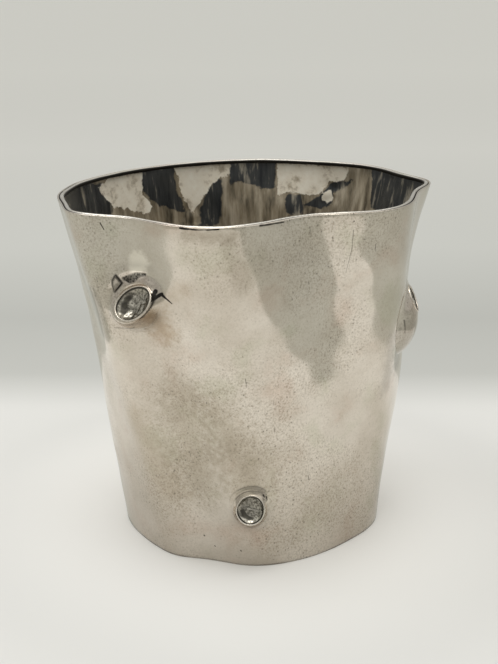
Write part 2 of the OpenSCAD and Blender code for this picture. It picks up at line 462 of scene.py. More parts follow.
def new_material(name):
    """An empty material's tree and its Principled shader."""
    material = bpy.data.materials.new(name)
    material.use_nodes = True
    tree = material.node_tree
    return material, tree, tree.nodes["Principled BSDF"]


# %% [markdown]
# ## Floor, world and lamps
#
# The floor is one plain pale sheet that turns greyer behind the bucket. Polished silver has hardly a colour
# of its own: it shows what stands round it. In the studio that is a pale table, about two thirds of a
# metre wide, with a darker room beyond its edges. To the camera the floor runs on to both sides and to the
# front, but to glossy rays it turns darker there too, and that draws the large patches on the wall.

# %% Floor
FLOOR_R = 30.0
FLOOR_SIDES = 64
FLOOR_T = 0.02
FAR = 4.0
# right, left, front and back edge of the table
TABLE_SIDES = [("X", 0.350), ("X", -0.365), ("Y", -0.62), ("Y", 0.225)]
rings = np.concatenate([[0.05, 0.1, 0.2, 0.4, 0.8, 1.6], np.geomspace(3, FLOOR_R, 6)])
turns = np.linspace(0, 2 * np.pi, FLOOR_SIDES, endpoint=False)[:, None]
top = np.stack([rings * np.cos(turns), rings * np.sin(turns), 0 * rings * turns], -1)
below = top[:, ::-1] - np.array([0, 0, FLOOR_T])
floor = piece_from_grid("floor", np.concatenate([top, below], 1), [(0, 0, 0), (0, 0, -FLOOR_T)])

floor_paper, tree, shader = new_material("floor_paper")
place = place_of(tree)
across = apart(tree, place)
# painted shade: the grey band behind the bucket, darkest about half a metre back and paler again further
# off, is shade as at the foot of a backdrop
depth_stops = [
    (0.045, (0.69, 0.69, 0.675)),
    (0.067, (0.48, 0.485, 0.465)),
    (0.110, (0.445, 0.45, 0.43)),
    (0.190, (0.565, 0.57, 0.545)),
    (0.400, (0.70, 0.70, 0.67)),
    (0.850, (0.75, 0.75, 0.715)),
]
colour = ramp(tree, maths(tree, "DIVIDE", across["Y"], FAR), depth_stops)
# painted light: the floor is paler round the foot, standing for light thrown by the silver
near = spread(tree, arrow(tree, "LENGTH", place)["Value"], 0.21, 0.09)
colour = tint(tree, near, colour, (0.93, 0.925, 0.905, 1))

# %% The table and the darker room, as the silver sees them
TABLE = (0.71, 0.705, 0.685, 1)
ROOM = (0.475, 0.48, 0.45, 1)
edge = 0.0
for way, reach in TABLE_SIDES:
    edge = maths(tree, "MAXIMUM", edge, maths(tree, "DIVIDE", across[way], reach))
beyond = spread(tree, edge, 0.985, 1.015)
glossy = put(tree, "LightPath").outputs["Is Glossy Ray"]
colour = tint(tree, glossy, colour, tint(tree, beyond, TABLE, ROOM))
tree.links.new(colour, shader.inputs["Base Color"])
shader.inputs["Roughness"].default_value = 0.6
shader.inputs["Specular IOR Level"].default_value = 0.2
floor.data.materials.append(floor_paper)

# %% World
world = bpy.data.worlds.new("studio")
world.use_nodes = True
bpy.context.scene.world = world
tree = world.node_tree
sky = tree.nodes["Background"]
way = put(tree, "TexCoord").outputs["Generated"]
room_stops = [
    (0.0, (0.47, 0.465, 0.44)),
    (0.35, (0.42, 0.415, 0.39)),
    (0.75, (0.93, 0.925, 0.89)),
    (1.0, (1.08, 1.07, 1.03)),
]
room = ramp(tree, apart(tree, way)["Z"], room_stops)
seen = put(tree, "LightPath").outputs["Is Camera Ray"]
tree.links.new(tint(tree, seen, room, (0.60, 0.605, 0.575, 1)), sky.inputs["Color"])


# %% Lamps
def soft_lamp(name, place, aim, size, watts, colour):
    """A square soft lamp, turned to a point."""
    data = bpy.data.lights.new(name, "AREA")
    data.size = size
    data.energy = watts
    data.color = colour
    lamp = bpy.data.objects.new(name, data)
    lamp.location = place
    away = np.array(aim) - np.array(place)
    flat = np.hypot(away[0], away[1])
    lamp.rotation_euler = (np.arctan2(flat, -away[2]), 0, np.arctan2(-away[0], away[1]))
    lamp.visible_camera = False
    bpy.context.scene.collection.objects.link(lamp)
    print(name, "at", place)


soft_lamp("top_lamp", (0.0, -0.05, 1.4), (0, 0, 0.1), 0.8, 6.3, (1.0, 0.985, 0.95))
soft_lamp("side_lamp", (-0.6, 0.18, 1.35), (0, 0, 0.1), 0.5, 2.4, (0.98, 0.99, 1.0))


# %% [markdown]
# ## Old silver
#
# Polished silver alone would be one flat mirror. Real old silver carries a thin, cloudy tarnish that
# drifts between brown, pink and green, with fine pits, upright hairlines and the faint drag of a
# polishing cloth. All the pieces share it, so it is one node group, placed in each material with its own
# values.


# %% A short way to start a group
def new_group(name, inputs, outputs):
    """An empty node group with the sockets asked for, each by its name and kind."""
    tree = bpy.data.node_groups.new(name, "ShaderNodeTree")
    for way, sockets in (("INPUT", inputs), ("OUTPUT", outputs)):
        for label, kind in sockets.items():
            tree.interface.new_socket(name=label, in_out=way, socket_type=kind)
    return tree, tree.nodes.new("NodeGroupInput").outputs, tree.nodes.new("NodeGroupOutput").inputs


COLOUR, NUMBER, POINT = "NodeSocketColor", "NodeSocketFloat", "NodeSocketVector"


def specks(tree, scale, stretch, size, share):
    """Scattered specks: near the middle of some of a cell texture's cells."""
    cells = put(tree, "TexVoronoi", {"Vector": place_of(tree, stretch), "Scale": scale})
    dot = spread(tree, cells.outputs["Distance"], size, size * 0.35)
    luck = put(tree, "SeparateColor", {0: cells.outputs["Color"]}).outputs[0]
    return times(tree, dot, spread(tree, luck, 1 - share, 1 - share * 0.7))


# %% The group that ages silver
age_group, given, made = new_group(
    "silver_age",
    {"Clean": COLOUR, "Dull": COLOUR, "Dullness": NUMBER, "Pits": NUMBER, "Gloss": NUMBER},
    {"Colour": COLOUR, "Roughness": NUMBER, "Height": NUMBER},
)
tree = age_group
place = place_of(tree)
clouds = noise(tree, place, 22.0, 6.0, 0.62)
drift = noise(tree, place_of(tree, shift=(3, 1, 2)), 31.0, 4.0)
grain = noise(tree, place, 840.0, 3.0, 0.7)
cloth = noise(tree, place_of(tree, (16, 16, 1)), 34.0, 3.0)
patchy = spread(tree, noise(tree, place, 16.0, 3.0), 0.38, 0.60, 0.25, 1.0)
large_pits = specks(tree, 190.0, (1, 1, 1), 0.15, 0.16)
small_pits = specks(tree, 430.0, (1, 1, 0.8), 0.28, 0.45)
hairs = specks(tree, 300.0, (1, 1, 0.13), 0.14, 0.30)
pit = maths(tree, "MAXIMUM", large_pits, times(tree, small_pits, 0.8))
pit = maths(tree, "MAXIMUM", pit, times(tree, hairs, 0.6))
pit = times(tree, pit, times(tree, patchy, given["Pits"]))

# %% Its colour, roughness and relief
film = times(tree, spread(tree, clouds, 0.34, 0.68), given["Dullness"])
colour = tint(tree, film, given["Clean"], given["Dull"])
pink = spread(tree, drift, 0.52, 0.72, 0.0, 0.5)
colour = tint(tree, pink, colour, (0.84, 0.73, 0.68, 1), "MULTIPLY")
green = spread(tree, drift, 0.46, 0.30, 0.0, 0.5)
colour = tint(tree, green, colour, (0.80, 0.84, 0.76, 1), "MULTIPLY")
dark_grain = times(tree, patchy, spread(tree, grain, 0.48, 0.68, 0.0, 0.70))
colour = tint(tree, dark_grain, colour, (0.55, 0.52, 0.47, 1), "MULTIPLY")
pale_grain = times(tree, patchy, spread(tree, grain, 0.50, 0.32, 0.0, 0.90))
colour = tint(tree, pale_grain, colour, (1.15, 1.15, 1.14, 1), "MULTIPLY")
colour = tint(tree, pit, colour, (0.14, 0.125, 0.105, 1))
tree.links.new(colour, made["Colour"])
rough = maths(tree, "MULTIPLY_ADD", film, 0.16, given["Gloss"])
rough = maths(tree, "MULTIPLY_ADD", cloth, 0.06, rough)
tree.links.new(maths(tree, "MULTIPLY_ADD", pit, 0.2, rough), made["Roughness"])
bumps = maths(tree, "MULTIPLY_ADD", grain, 0.35, times(tree, cloth, 0.5))
tree.links.new(maths(tree, "SUBTRACT", bumps, pit), made["Height"])
print("nodes in silver_age:", len(tree.nodes))

# %% [markdown]
# ## Scratches, creases, stains and painted shade
#
# Single marks have a place of their own. A scratch could be a thin mesh, but it is only a line on the
# skin, so a group measures how far each place is from a line between two points. A narrow hard line draws a
# scratch or a crease full of dirt, and also lines of painted shade; a wide soft one draws a stain, and also
# patches of painted shade and dark reflection.

# %% The group that draws one stroke
# distance straight out of the wall hardly counts, so that a stroke also lies on a knot
OUT_SPARED = 0.95
stroke_group, given, made = new_group(
    "stroke",
    {"From": POINT, "To": POINT, "Out": POINT, "Width": NUMBER, "Soft": NUMBER, "Thin": NUMBER},
    {"Mask": NUMBER},
)
tree = stroke_group
place = place_of(tree)
from_start = arrow(tree, "SUBTRACT", place, given["From"])["Vector"]
whole = arrow(tree, "SUBTRACT", given["To"], given["From"])["Vector"]
done = arrow(tree, "DOT_PRODUCT", from_start, whole)["Value"]
share = maths(tree, "DIVIDE", done, arrow(tree, "DOT_PRODUCT", whole, whole)["Value"])
share = put(tree, "Clamp", {0: share}).outputs[0]
away = arrow(tree, "SUBTRACT", from_start, scaled(tree, whole, share))["Vector"]
outward = arrow(tree, "DOT_PRODUCT", away, given["Out"])["Value"]
lift = scaled(tree, scaled(tree, given["Out"], outward), OUT_SPARED)
gap = arrow(tree, "LENGTH", arrow(tree, "SUBTRACT", away, lift)["Vector"])["Value"]
thinned = maths(tree, "SUBTRACT", 1.0, times(tree, share, given["Thin"]))
gap = maths(tree, "DIVIDE", gap, times(tree, given["Width"], thinned))
shake = maths(tree, "MULTIPLY_ADD", noise(tree, place, 260.0, 4.0, 0.6), 1.1, -0.55)
gap = maths(tree, "ADD", gap, shake)
hard = maths(tree, "SUBTRACT", 1.0, given["Soft"])
tree.links.new(spread(tree, gap, 1.0, hard), made["Mask"])

# %% The group that frays the edge of a patch
patch_group, given, made = new_group(
    "frayed_patch", {"Depth": NUMBER, "Fray": NUMBER, "Soft": NUMBER}, {"Mask": NUMBER}
)
tree = patch_group
torn = noise(tree, place_of(tree), 150.0, 7.0, 0.66)
frayed = times(tree, maths(tree, "SUBTRACT", torn, 0.5), given["Fray"])
frayed = maths(tree, "ADD", frayed, given["Depth"])
below = times(tree, given["Soft"], -1.0)
tree.links.new(spread(tree, frayed, below, given["Soft"]), made["Mask"])


# %% [markdown]
# ## Materials
#
# Each piece gets its own mix of clean and dull silver. Grime in creases, and painted shade in the crease
# beside the large knot's ring and on the underside and inner side of the rim wire, comes from a number
# stored on the points of the mesh, so it stays where it was put, from any side.


# %% Plain silver with grime and painted shade
# one dark colour, for grime and for painted shade
GRIME_AND_SHADE = (0.035, 0.032, 0.028, 1)
RELIEF = {"Strength": 0.06, "Distance": 0.0004}
GRIME_AND_SHADE_ROUGH = 0.35


def silver_material(name, clean, dull, dullness, pits, gloss):
    """Metal with the ageing group on its colour, roughness and bump, and grime where it is painted."""
    material, tree, shader = new_material(name)
    values = {"Clean": (*clean, 1), "Dull": (*dull, 1), "Dullness": dullness, "Pits": pits, "Gloss": gloss}
    age = use_group(tree, age_group, **values)
    grime_and_shade = painted(tree, "grime_and_shade")
    shader.inputs["Metallic"].default_value = 1.0
    colour = tint(tree, grime_and_shade, age["Colour"], GRIME_AND_SHADE)
    tree.links.new(colour, shader.inputs["Base Color"])
    rough = maths(tree, "MULTIPLY_ADD", grime_and_shade, GRIME_AND_SHADE_ROUGH, age["Roughness"])
    tree.links.new(rough, shader.inputs["Roughness"])
    relief = put(tree, "Bump", {**RELIEF, "Height": age["Height"]})
    tree.links.new(relief.outputs[0], shader.inputs["Normal"])
    return material, tree, shader, colour, rough


SILVER = (0.775, 0.715, 0.635)
BROWNED = (0.55, 0.485, 0.40)
wall_silver, wall_tree, wall_shader, wall_colour, wall_rough = silver_material(
    "wall_silver", SILVER, BROWNED, 0.6, 0.75, 0.03
)
rim_silver = silver_material("rim_silver", (0.89, 0.86, 0.80), BROWNED, 0.4, 0.5, 0.16)[0]
base_silver = silver_material("base_silver", (0.70, 0.66, 0.59), (0.40, 0.36, 0.30), 0.8, 0.6, 0.22)[0]
solder = silver_material("solder", (0.60, 0.58, 0.54), (0.32, 0.30, 0.27), 0.8, 0.4, 0.30)[0]
ring_silver = silver_material("ring_silver", (0.78, 0.735, 0.66), BROWNED, 0.4, 0.3, 0.18)[0]
dish_silver, tree, shader, colour, _ = silver_material(
    "dish_silver", (0.82, 0.775, 0.68), (0.125, 0.118, 0.095), 0.6, 1.0, 0.06
)
mottle = spread(tree, noise(tree, place_of(tree), 800.0, 4.0, 0.6), 0.46, 0.60, 0.0, 0.82)
tree.links.new(tint(tree, mottle, colour, (0.10, 0.095, 0.075, 1)), shader.inputs["Base Color"])


# %% [markdown]
# The wall has its own marks. Low down it is a little darker towards the foot. Darker patches and lines
# under and beside the large knot, beside the right knot, under the front rim and on the upper left and
# upper front are painted shade and dark reflection, one place above the large knot is painted pale as a
# reflection, and single scratches run down from the rim. Each mark is given by angles and heights, and the
# skin turns these into points.


# %% Marks, painted shade and painted reflection on the wall
def stroke(tree, start, end, width, soft, strength, thin=0.0):
    """The mask of one stroke. Its ends are angles and heights, and heights and width are in millimetres."""
    places = {"From": skin(start[0], start[1] / 1000), "To": skin(end[0], end[1] / 1000)}
    places["Out"] = skin_out(start[0], start[1] / 1000)
    values = {label: tuple(float(v) for v in point) for label, point in places.items()}
    values.update({"Width": width / 1000, "Soft": soft, "Thin": thin})
    return times(tree, use_group(tree, stroke_group, **values)["Mask"], strength)


# start, end (angle and height in mm), half width in mm, softness, strength, thinning
SCRATCHES_AND_SHADE_LINES = [
    ((-133.3, 214.8), (-132.5, 210.9), 0.55, 0.5, 0.9, 0.4),
    ((-52.3, 209), (-52.0, 198), 0.30, 0.5, 0.6, 0.0),
    ((-52.0, 198), (-53.1, 183.3), 0.30, 0.5, 0.6, 0.5),
    # painted shade and dark reflection: a dark wedge beside the large knot's ring
    ((-117.2, 178.9), (-118.3, 172.5), 1.5, 0.3, 1.0, 0.0),
    # painted shade: two strokes along the undercut edge below the large knot's ring
    ((-126.8, 154.6), (-133.6, 151.8), 0.55, 0.6, 0.7, 0.4),
    ((-123.5, 163.5), (-126.8, 154.6), 0.5, 0.6, 0.6, 0.2),
    ((-85.5, 51.8), (-85.2, 50.6), 0.7, 0.5, 0.9, 0.3),
    ((-84.4, 50.4), (-84.2, 48.6), 0.6, 0.5, 0.9, 0.3),
    # painted dark reflection: a sliver on the right knot's collar
    ((-21.0, 143), (-19.8, 134), 0.8, 0.8, 0.6, 0.4),
    # painted shade and dark reflection: a branching fold right of the large knot's ring, three strokes
    ((-117.3, 177.2), (-117.2, 176.0), 1.7, 0.4, 1.0, 0.0),
    ((-118.6, 174.6), (-115.6, 177.4), 1.9, 0.4, 1.0, 0.4),
    ((-115.6, 177.4), (-112.8, 171.8), 0.9, 0.5, 1.0, 0.6),
    ((-44.0, 199), (-43.4, 194.5), 0.30, 0.5, 0.6, 0.5),
    # painted shade under the lip of the front rim, two strokes
    ((-107.0, 218.2), (-97.0, 218.2), 0.85, 0.5, 1.0, 0.4),
    ((-86.0, 218.2), (-78.0, 217.8), 0.85, 0.7, 0.9, 0.4),
    ((-91.0, 128), (-90.6, 122), 0.35, 0.6, 0.6, 0.5),
    ((-66.5, 58), (-66.0, 55), 0.5, 0.6, 0.6, 0.2),
    ((-110.2, 17.5), (-110.0, 17.1), 0.7, 0.5, 0.8, 0.0),
    ((-105.7, 11), (-105.5, 10.6), 0.5, 0.5, 0.7, 0.0),
    ((-94.4, 10.7), (-94.2, 10.3), 0.7, 0.5, 0.8, 0.0),
]
# start, end, half width, softness, strength, the colour to multiply by
SHADE_AND_STAINS = [
    # painted shade: the collar's shaded side under the large knot
    ((-119.6, 165), (-117.4, 152), 14, 1.0, 0.90, (0.67, 0.59, 0.50)),
    ((-113.0, 108), (-110.0, 56), 27, 1.0, 0.90, (0.72, 0.70, 0.65)),
    ((-101.0, 106), (-90.0, 58), 23, 1.0, 0.90, (0.72, 0.70, 0.65)),
    ((-132.0, 92), (-122.0, 48), 16, 1.0, 0.60, (0.82, 0.79, 0.73)),
    ((-92.0, 28), (-86.0, 22), 9, 1.0, 0.40, (0.90, 0.78, 0.72)),
    ((-66.0, 26), (-52.0, 40), 16, 1.0, 0.60, (0.82, 0.82, 0.77)),
    # painted shade and dark reflection beside the large knot's ring
    ((-113.0, 176), (-108.0, 182), 8, 1.0, 0.50, (0.82, 0.77, 0.70)),
    # painted shade under the front rim
    ((-105.0, 215), (-93.0, 214), 8, 1.0, 0.75, (0.62, 0.60, 0.55)),
    # painted dark reflection on the upper left, two patches
    ((-141.5, 166), (-139.8, 148), 11, 0.5, 0.95, (0.60, 0.605, 0.585)),
    ((-152.0, 176), (-147.0, 160), 9, 0.6, 0.90, (0.72, 0.725, 0.70)),
    # painted dark reflection below and left of the right knot, two patches
    ((-17.0, 134), (-15.0, 116), 19, 0.8, 0.95, (0.62, 0.62, 0.61)),
    ((-27.0, 132), (-26.5, 102), 11, 0.9, 0.90, (0.76, 0.76, 0.76)),
    # painted dark reflection on the upper front
    ((-94.0, 207), (-91.2, 186), 9, 0.7, 0.95, (0.82, 0.81, 0.79)),
]
# start, end, half width, softness, strength of a place painted pale, as a reflection
PALE_REFLECTION_MARKS = [((-123.2, 194.5), (-124.2, 189.5), 7.8, 0.6, 0.90)]
BRIGHT = (1.0, 0.93, 0.82, 1)
tree, colour = wall_tree, wall_colour
# the wall is made a little darker towards the foot
low = spread(tree, apart(tree, place_of(tree))["Z"], 0.125, 0.015, 0.0, 0.1)
colour = tint(tree, low, colour, (0.70, 0.685, 0.65, 1), "MULTIPLY")
for *mark, hue in SHADE_AND_STAINS:
    colour = tint(tree, stroke(tree, *mark), colour, (*hue, 1), "MULTIPLY")
for mark in PALE_REFLECTION_MARKS:
    colour = tint(tree, stroke(tree, *mark), colour, BRIGHT)
# scratches, and lines of painted shade and dark reflection, in the one dark colour
for mark in SCRATCHES_AND_SHADE_LINES:
    colour = tint(tree, stroke(tree, *mark), colour, GRIME_AND_SHADE)
wall_colour = tint(tree, painted(tree, "grime_and_shade"), colour, GRIME_AND_SHADE)
print("strokes on the wall:", len(SHADE_AND_STAINS) + len(PALE_REFLECTION_MARKS) + len(SCRATCHES_AND_SHADE_LINES))

# %% [markdown]
# The inside is a painted patchwork of reflections: creamy patches are painted reflection of bright light,
# and are matt and less metallic, near-black patches are painted dark reflection, and streaky brown lies
# between them, with frayed edges. The patches are outlines in angle and height, and each point of the inner
# skin stores how deep it lies inside the nearest one. Away from the outlined places, slow waves make
# patches of the same size.

# %% Painted reflections inside the mouth
PALE_REFLECTION_PATCHES = [
    [(160, 211), (152, 216), (135, 216), (136, 201), (131.5, 192.5), (133, 187), (153, 198)],
    [(119.7, 218), (96.8, 216), (97.3, 208), (102.6, 205), (107, 195), (113, 182), (116, 193)],
    [(78.8, 216), (52, 216), (53.6, 207), (59, 204.5), (63, 194), (70, 195), (73.7, 196), (78.6, 193)],
    [(61.9, 196), (58.5, 199), (57.6, 192), (59.5, 189), (61.5, 191)],
]
DARK_REFLECTION_PATCHES = [
    [(134.6, 219), (119.7, 219), (119.5, 201), (114.6, 183), (127.6, 191), (132, 196), (135.7, 204)],
    [(109.5, 173), (109.8, 181), (107, 195), (102.6, 206), (99.7, 206), (100.3, 180), (103, 172)],
    [(96.4, 219), (79.2, 219), (79, 197), (83, 198), (92.7, 203), (96.6, 201)],
    [(75.5, 194), (69.5, 195), (68.5, 181), (75, 181)],
    [
        (68, 187), (65, 192), (62, 196), (59, 204), (50.7, 207.5), (52, 203),
        (57.6, 197), (57.6, 189), (62, 185),
    ],
    [(43, 219), (8, 219), (8, 186), (41.6, 190)],
    [(200, 219), (171, 219), (152, 212), (153, 192), (200, 188)],
]
MM_PER_DEGREE = 1.9


def patch_depth(angle, z, outlines):
    """Depth in millimetres inside the nearest outline, negative outside.

    The depth is the distance to the nearest side. A place is inside when a level line from it crosses
    the sides an odd number of times.
    """
    x = (np.asarray(angle, float) % 360)[..., None] * MM_PER_DEGREE
    y = np.asarray(z, float)[..., None] * 1000
    deepest = np.full(x.shape[:-1], -1e3)
    for outline in outlines:
        corners = np.array(outline, float)
        corners[:, 0] = corners[:, 0] % 360 * MM_PER_DEGREE
        (ax, ay), (bx, by) = corners.T, np.roll(corners, -1, 0).T
        along = ((x - ax) * (bx - ax) + (y - ay) * (by - ay)) / ((bx - ax) ** 2 + (by - ay) ** 2)
        along = np.clip(along, 0, 1)
        gap = np.hypot(x - mix(ax, bx, along), y - mix(ay, by, along)).min(-1)
        rise = np.where(by == ay, 1e-9, by - ay)
        crossed = ((ay > y) != (by > y)) & (x < ax + (y - ay) * (bx - ax) / rise)
        deepest = np.maximum(deepest, np.where(crossed.sum(-1) % 2 == 1, gap, -gap))
    return deepest


# %% Colours of the inside
tree = wall_tree
inside = painted(tree, "inside")
pale = use_group(tree, patch_group, Depth=painted(tree, "pale_depth"), Fray=9.0, Soft=0.5)["Mask"]
dark = use_group(tree, patch_group, Depth=painted(tree, "dark_depth"), Fray=7.0, Soft=0.7)["Mask"]
streaks = noise(tree, place_of(tree, (1, 1, 0.10)), 190.0, 5.0, 0.6)
mottle = noise(tree, place_of(tree), 95.0, 6.0, 0.65)
bare_stops = [(0.32, (0.10, 0.085, 0.06)), (0.50, (0.36, 0.305, 0.22)), (0.68, (0.62, 0.55, 0.43))]
bare = ramp(tree, streaks, bare_stops)
night_stops = [(0.35, (0.025, 0.028, 0.032)), (0.56, (0.07, 0.073, 0.073)), (0.68, (0.46, 0.42, 0.34))]
night = ramp(tree, streaks, night_stops)
cream_stops = [(0.33, (0.46, 0.39, 0.29)), (0.47, (0.88, 0.81, 0.68)), (0.66, (0.97, 0.92, 0.80))]
cream = ramp(tree, mottle, cream_stops)
# painted reflection: cream where bright light would be reflected, near-black where dark surroundings would
# be
inner = tint(tree, pale, tint(tree, dark, bare, night), cream)
tree.links.new(tint(tree, inside, wall_colour, inner), wall_shader.inputs["Base Color"])
inner_rough = maths(tree, "MULTIPLY_ADD", pale, 0.25, 0.26)
rough_gain = times(tree, inside, maths(tree, "SUBTRACT", inner_rough, wall_rough))
tree.links.new(maths(tree, "ADD", wall_rough, rough_gain), wall_shader.inputs["Roughness"])
inner_metal = maths(tree, "MULTIPLY_ADD", pale, -0.35, 0.45)
metal_loss = times(tree, inside, maths(tree, "SUBTRACT", 1.0, inner_metal))
tree.links.new(maths(tree, "SUBTRACT", 1.0, metal_loss), wall_shader.inputs["Metallic"])
print("nodes in wall_silver:", len(tree.nodes))

# %% [markdown]
# ## The wall
#
# The wall is one sheet, closed all round: up the outside, over a half-round edge, down the inside, and
# back under a narrow lip that hides the edge of the base plate. Inside, it has finer hammer marks, and a
# pucker behind each of the two knots at the back.

# %% The wall's section
AROUND = 400
ROWS_OUT = 124
ROWS_IN = 100
EDGE_STEPS = 7
FOOT_Z = 0.0002
LIP_T = 0.00025

angles = np.arange(AROUND) * 360 / AROUND
out_z = np.linspace(FOOT_Z, HEIGHT - WALL_T / 2, ROWS_OUT)
edge_turn = np.linspace(0, np.pi, EDGE_STEPS + 2)[1:-1]
edge_z = HEIGHT - WALL_T / 2 + WALL_T / 2 * np.sin(edge_turn)
in_z = np.linspace(HEIGHT - WALL_T / 2, BASE_T, ROWS_IN)
column_z = np.concatenate([out_z, edge_z, in_z, [BASE_T, FOOT_Z]])
edge_depth = WALL_T / 2 * (1 - np.cos(edge_turn))
depth = np.concatenate([0 * out_z, edge_depth, WALL_T + 0 * in_z, [LIP_T, LIP_T]])
is_inside = np.concatenate([0 * out_z, smooth(edge_turn, 2.0, 2.8), 1 + 0 * in_z, [0, 0]])


# %% Puckers and hammer marks inside
PUCKERS = [(59.9, 0.1965), (113.5, 0.1802)]


def pucker(angle, z, middle_angle, middle_z):
    """A small dimple with a raised, five-fold rim: two bell curves of the distance, waved by the turn."""
    x = between(angle, middle_angle) * MM_PER_DEGREE / 1000
    y = z - middle_z
    away = np.hypot(x, y)
    petals = 1 + 0.5 * np.cos(5 * np.arctan2(y, x))
    return 0.0008 * bell(away, 0, 0.003) - 0.0005 * petals * bell(away, 0.006, 0.003)


a, z = np.meshgrid(angles, column_z, indexing="ij")
inner_share = np.broadcast_to(is_inside, a.shape) * smooth(HEIGHT - z, 0.001, 0.006)
depth = depth + inner_share * ripple(FINE, a, z)
for pucker_place in PUCKERS:
    depth = depth + inner_share * pucker(a, z, *pucker_place)
wall = piece_from_grid("wall_sheet", skin(a, z) - depth[..., None] * level_out(a, z))
seat(wall, "wall", wall_silver)

# %% Patches stored on the wall
PATCH_SWING = 16
DEEPEST_OUT = -12
# two shifted views of the same slow waves
slow = wave_set(18, 7, 1.0)
own = PATCH_SWING * ripple(slow, a + 40, z * 0.6) - 5.5
other = PATCH_SWING * ripple(slow, a - 65, z * 0.6 + 0.3) - 8.0
# the outlined patches take over in the upper part of the back half
drawn = smooth(z, 0.166, 0.182) * smooth(a, 2, 14) * smooth(-a, -204, -196)
paint(wall, "inside", np.broadcast_to(is_inside, a.shape))
for layer, outlines, waves in (("pale_depth", PALE_REFLECTION_PATCHES, own), ("dark_depth", DARK_REFLECTION_PATCHES, other)):
    outlined = np.maximum(patch_depth(a, z, outlines), DEEPEST_OUT)
    paint(wall, layer, mix(waves, outlined, drawn))

# %% [markdown]
# ## Base plate and solder
#
# The base is a flat sheet cut to the outline of the foot. It sits just inside the wall's lip, so only a
# fine dark line shows. Inside, a hollow fillet of solder closes the corner.

# %% Base plate
PLATE_IN = 0.0003
BASE_ROWS = 40
base_share = np.linspace(0.05, 1, BASE_ROWS)
foot_z = np.full(AROUND, BASE_T)
base_edge = (skin(angles, foot_z) - PLATE_IN * level_out(angles, foot_z))[:, None, :2]
flat = base_share[None, :, None] * base_edge
top = np.concatenate([flat, np.full((AROUND, BASE_ROWS, 1), BASE_T)], -1)
under = np.concatenate([flat[:, ::-1], np.zeros((AROUND, BASE_ROWS, 1))], -1)
base = piece_from_grid("base_sheet", np.concatenate([top, under], 1), [(0, 0, BASE_T), (0, 0, 0)])
seat(base, "base_plate", base_silver)

# %% Solder fillet inside the foot
FILLET = 0.003
hollow = np.linspace(0, np.pi / 2, 7)
fillet_in = WALL_T + FILLET * np.concatenate([[0], 1 - np.cos(hollow)])
fillet_up = np.concatenate([[0], FILLET * (1 - np.sin(hollow))])
a, z = np.meshgrid(angles, BASE_T + fillet_up, indexing="ij")
fillet = piece_from_grid("base_fillet", skin(a, z) - fillet_in[None, :, None] * level_out(a, z))
seat(fillet, "base_solder", solder)

# %% [markdown]
# ## Rim wire
#
# A round wire is soldered inside the mouth. Its underside and inner side are painted dark, as shade and
# dark reflection, and only its top is left bright. It was hammered a little uneven, and its two ends meet
# in a slanted joint at the front right.

# %% Rim wire
WIRE_R = 0.0015
WIRE_PROUD = 0.0003
WIRE_GAP = 0.0003
WIRE_SIDES = 24
JOINT_ANGLE = -56
JOINT_SPREAD = 2.5
section = np.linspace(0, 2 * np.pi, WIRE_SIDES, endpoint=False)
a, t = np.meshgrid(angles, section, indexing="ij")
joint = bell(between(a, JOINT_ANGLE), 0, JOINT_SPREAD)
dents = 0.05 * np.cos(np.radians(a) * 13) + 0.04 * np.cos(np.radians(a) * 29 + 1)
wire_r = WIRE_R * (1 + dents + 0.12 * joint)
wire_in = WALL_T + WIRE_GAP + WIRE_R
mouth = np.full(a.shape, HEIGHT)
wire_grid = skin(a, mouth) - (wire_in - wire_r * np.cos(t))[..., None] * level_out(a, mouth)
wire_grid[..., 2] = HEIGHT + WIRE_PROUD - WIRE_R + wire_r * np.sin(t)
wire = piece_from_grid("mouth_wire", wire_grid)
# painted shade and dark reflection: the wire is dark on all but its top
paint(wire, "grime_and_shade", smooth(-np.sin(t), -0.90, -0.60))
seat(wire, "rim_wire", rim_silver)

# %% [markdown]
# ## The knots
#
# Each knot is a stub of a branch that was sawn off: a collar that flares out of the wall, a thin bright
# ring round the cut, and a sunk dish inside it. The large one on the left is oval, has a rounded shoulder
# below and a chiselled brow above, with a small flap beside it. The others are plainer.

# %% Sizes of the knots
DISH_DEPTH = 0.0029
DISH_POWER = 3.4
DISH_T = 0.0008
DISH_FIT = 0.00015
SINK = 0.0004

# stretch along and across, oval and its turn, width of the ring, reach of brow and tail, the brow's rise,
# and the shoulder: least, most, its turn, and how steeply it leaves the wall
FORMS = {
    "upper_left": (0.91, 1.13, 0.0, 0, 0.0011, 0.016, 0.016, 0.0012, (0.0004, 0.0046, 110, 0.0)),
    "lower_front": (1.01, 1.01, 0.055, -43, 0.0008, 0.010, 0.016, 0.0004, (0.0006, 0.0012, 180, 0.0)),
    "right": (1.00, 1.00, 0.0, 0, 0.0012, 0.009, 0.028, 0.0005, (0.0010, 0.0145, 180, 0.7)),
    "back_right": (0.96, 1.06, 0.0, 0, 0.0012, 0.010, 0.018, 0.0006, (0.0010, 0.0050, 150, 0.3)),
    "back_left": (1.04, 0.97, 0.0, 0, 0.0011, 0.010, 0.018, 0.0006, (0.0010, 0.0050, 210, 0.3)),
}

# turn and distance of the dark blot in the dish, how murky the rest is, and where its rim is clean
DISHES = {
    "upper_left": (66, 0.68, 0.0, 152),
    "lower_front": (121, 0.62, 0.40, 20),
    "right": (110, 0.55, 0.2, 0),
    "back_right": (-120, 0.60, 0.2, 40),
    "back_left": (-40, 0.50, 0.2, 170),
}


